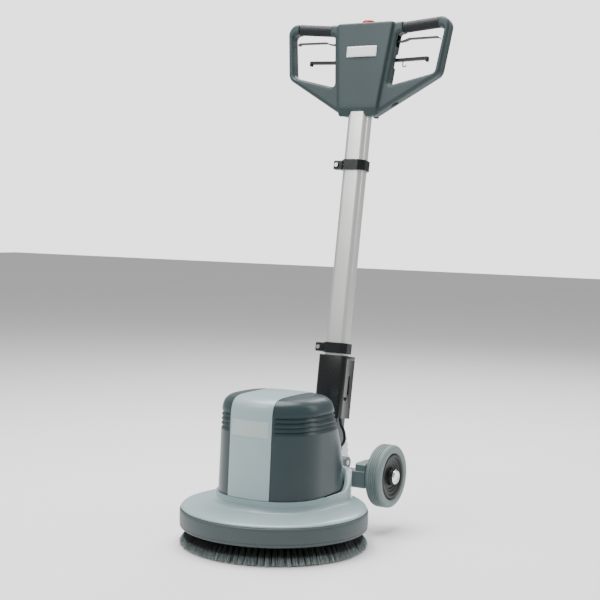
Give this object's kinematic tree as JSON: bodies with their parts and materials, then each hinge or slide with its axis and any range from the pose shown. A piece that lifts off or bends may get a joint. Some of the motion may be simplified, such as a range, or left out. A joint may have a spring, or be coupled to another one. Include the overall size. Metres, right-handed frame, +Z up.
{
  "type": "rotary floor machine",
  "caption": "Upright single-disc rotary floor machine: round brush deck under a domed motor cover, tilting tube handle with twin loop grips and levers, and rear transport wheels.",
  "frame": {"origin": "centre of the machine's box in plan, on the floor under the bristles", "axes": "+Z up, the longest way; +Y from the brush towards the handle and transport wheels; +X to the right as seen from in front, the shortest way"},
  "size_m": [0.459, 0.6476, 1.2356],
  "materials": {
    "deck_grey": "satin moulded plastic, light blue-grey",
    "bumper_grey": "satin soft plastic",
    "cast_metal": "cast",
    "steel": "plain",
    "copper_windings": "wound copper on steel",
    "capacitor_grey": "plastic can",
    "cover_grey": "satin moulded plastic, dark grey-green",
    "label_grey": "blank label",
    "cast_grey": "painted casting",
    "gloss_black": "glossy black plastic",
    "lead_black": "satin black jacket",
    "bright_steel": "bright",
    "bristle": "nylon bristle, black roots and grey tips",
    "brush_block": "plastic",
    "fan_plastic": "plastic",
    "tyre_grey": "non-marking grey rubber",
    "fork_grey": "painted steel",
    "tube_aluminium": "satin anodised",
    "head_grey": "satin moulded plastic, dark grey-green",
    "label_white": "blank label",
    "grip_black": "textured black",
    "black_plastic": "matt black",
    "signal_red": "red"
  },
  "bodies": {
    "chassis": {"deck_housing": "deck_grey", "bumper_ring": "bumper_grey", "gearbox_housing": "cast_metal", "ring_gear": "steel", "output_bearing": "steel", "motor_housing": "cast_metal", "stator_core": "copper_windings", "motor_end_bell": "cast_metal", "lower_motor_bearing": "steel", "upper_motor_bearing": "steel", "start_capacitor": "capacitor_grey", "run_capacitor": "capacitor_grey", "motor_cover_left": "cover_grey", "motor_cover_right": "cover_grey", "motor_cover_centre": "deck_grey", "cover_badge_plate": "label_grey", "hinge_bracket": "cast_grey", "wheel_axle": "steel", "hinge_shaft": "steel", "tilt_sector": "steel", "lead_gland": "gloss_black", "motor_lead": "lead_black", "axle_cap_left": "bright_steel", "axle_cap_right": "bright_steel"},
    "brush": {"brush_bristles": "bristle", "brush_block": "brush_block", "brush_socket": "brush_block", "drive_plate": "steel", "planet_carrier": "steel"},
    "planet_1": {"planet_gear_1": "steel"},
    "planet_2": {"planet_gear_2": "steel"},
    "planet_3": {"planet_gear_3": "steel"},
    "rotor": {"rotor_shaft": "steel", "sun_gear": "steel", "rotor_core": "steel", "cooling_fan": "fan_plastic"},
    "wheel_left": {"tyre_left": "tyre_grey", "wheel_rim_left": "gloss_black"},
    "wheel_right": {"tyre_right": "tyre_grey", "wheel_rim_right": "gloss_black"},
    "handle": {"hinge_fork": "fork_grey", "hinge_box": "gloss_black", "handle_tube": "tube_aluminium", "tube_clamp_lower": "gloss_black", "tube_clamp_upper": "gloss_black", "clamp_screw_lower": "bright_steel", "clamp_screw_upper": "bright_steel", "head_front_shell": "head_grey", "head_rear_shell": "head_grey", "head_badge_plate": "label_white", "grip_left": "grip_black", "grip_right": "grip_black", "cord_gland": "gloss_black", "switch_unit": "black_plastic"},
    "switch_lever_left": {"switch_lever_left": "black_plastic"},
    "switch_lever_right": {"switch_lever_right": "black_plastic"},
    "tilt_lever": {"tilt_lever": "black_plastic"},
    "solution_lever": {"solution_lever": "black_plastic"},
    "latch_rod": {"latch_rod": "steel"},
    "safety_button": {"safety_button": "signal_red"}
  },
  "joints": [
    {"name": "brush_spin", "type": "hinge", "parent": "chassis", "child": "brush", "pos_m": [0, -0.1095, 0], "axis": [0, 0, 1], "continuous": true},
    {"name": "motor_spin", "type": "hinge", "parent": "chassis", "child": "rotor", "pos_m": [0, -0.1095, 0], "axis": [0, 0, 1], "continuous": true},
    {"name": "planet_1_spin", "type": "hinge", "parent": "brush", "child": "planet_1", "pos_m": [0.03188, -0.1095, 0], "axis": [0, 0, 1], "continuous": true},
    {"name": "planet_2_spin", "type": "hinge", "parent": "brush", "child": "planet_2", "pos_m": [-0.01594, -0.08189, 0], "axis": [0, 0, 1], "continuous": true},
    {"name": "planet_3_spin", "type": "hinge", "parent": "brush", "child": "planet_3", "pos_m": [-0.01594, -0.13711, 0], "axis": [0, 0, 1], "continuous": true},
    {"name": "wheel_left_spin", "type": "hinge", "parent": "chassis", "child": "wheel_left", "pos_m": [0, 0.145, 0.133], "axis": [1, 0, 0], "continuous": true},
    {"name": "wheel_right_spin", "type": "hinge", "parent": "chassis", "child": "wheel_right", "pos_m": [0, 0.145, 0.133], "axis": [1, 0, 0], "continuous": true},
    {"name": "handle_tilt", "type": "hinge", "parent": "chassis", "child": "handle", "pos_m": [0, 0.1269, 0.156], "axis": [-1, 0, 0], "range_deg": [-8, 50], "deforming": ["motor_lead"]},
    {"name": "switch_left_squeeze", "type": "hinge", "parent": "handle", "child": "switch_lever_left", "pos_m": [-0.066, 0.28323, 1.17761], "axis": [0, 0.9885, -0.1513], "range_deg": [0, 5], "stiffness_Nm_per_rad": 3, "springref_deg": -5.73},
    {"name": "switch_right_squeeze", "type": "hinge", "parent": "handle", "child": "switch_lever_right", "pos_m": [0.066, 0.28323, 1.17761], "axis": [0, -0.9885, 0.1513], "range_deg": [0, 5], "stiffness_Nm_per_rad": 3, "springref_deg": -5.73},
    {"name": "tilt_lever_squeeze", "type": "hinge", "parent": "handle", "child": "tilt_lever", "pos_m": [0.035, 0.27665, 1.13461], "axis": [0, 0.9885, -0.1513], "range_deg": [0, 6.5]},
    {"name": "latch_lift", "type": "slide", "parent": "handle", "child": "latch_rod", "axis": [0, 0.1513, 0.9885], "range_m": [0, 0.0039], "stiffness_N_per_m": 600, "springref_m": -0.008},
    {"name": "solution_lever_squeeze", "type": "hinge", "parent": "handle", "child": "solution_lever", "pos_m": [0.06, 0.27665, 1.13461], "axis": [0, -0.9885, 0.1513], "range_deg": [0, 10], "stiffness_Nm_per_rad": 3, "springref_deg": -6.88},
    {"name": "safety_button_press", "type": "slide", "parent": "handle", "child": "safety_button", "axis": [0, -0.1513, -0.9885], "range_m": [0, 0.003], "stiffness_N_per_m": 600, "springref_m": -0.004}
  ],
  "couplings": [
    {"joint": "motor_spin", "follows": "brush_spin", "ratio": 8.5},
    {"joint": "planet_1_spin", "follows": "brush_spin", "ratio": -2.3077},
    {"joint": "planet_2_spin", "follows": "brush_spin", "ratio": -2.3077},
    {"joint": "planet_3_spin", "follows": "brush_spin", "ratio": -2.3077},
    {"joint": "tilt_lever_squeeze", "follows": "latch_lift", "rad_per_m": 28.571}
  ]
}
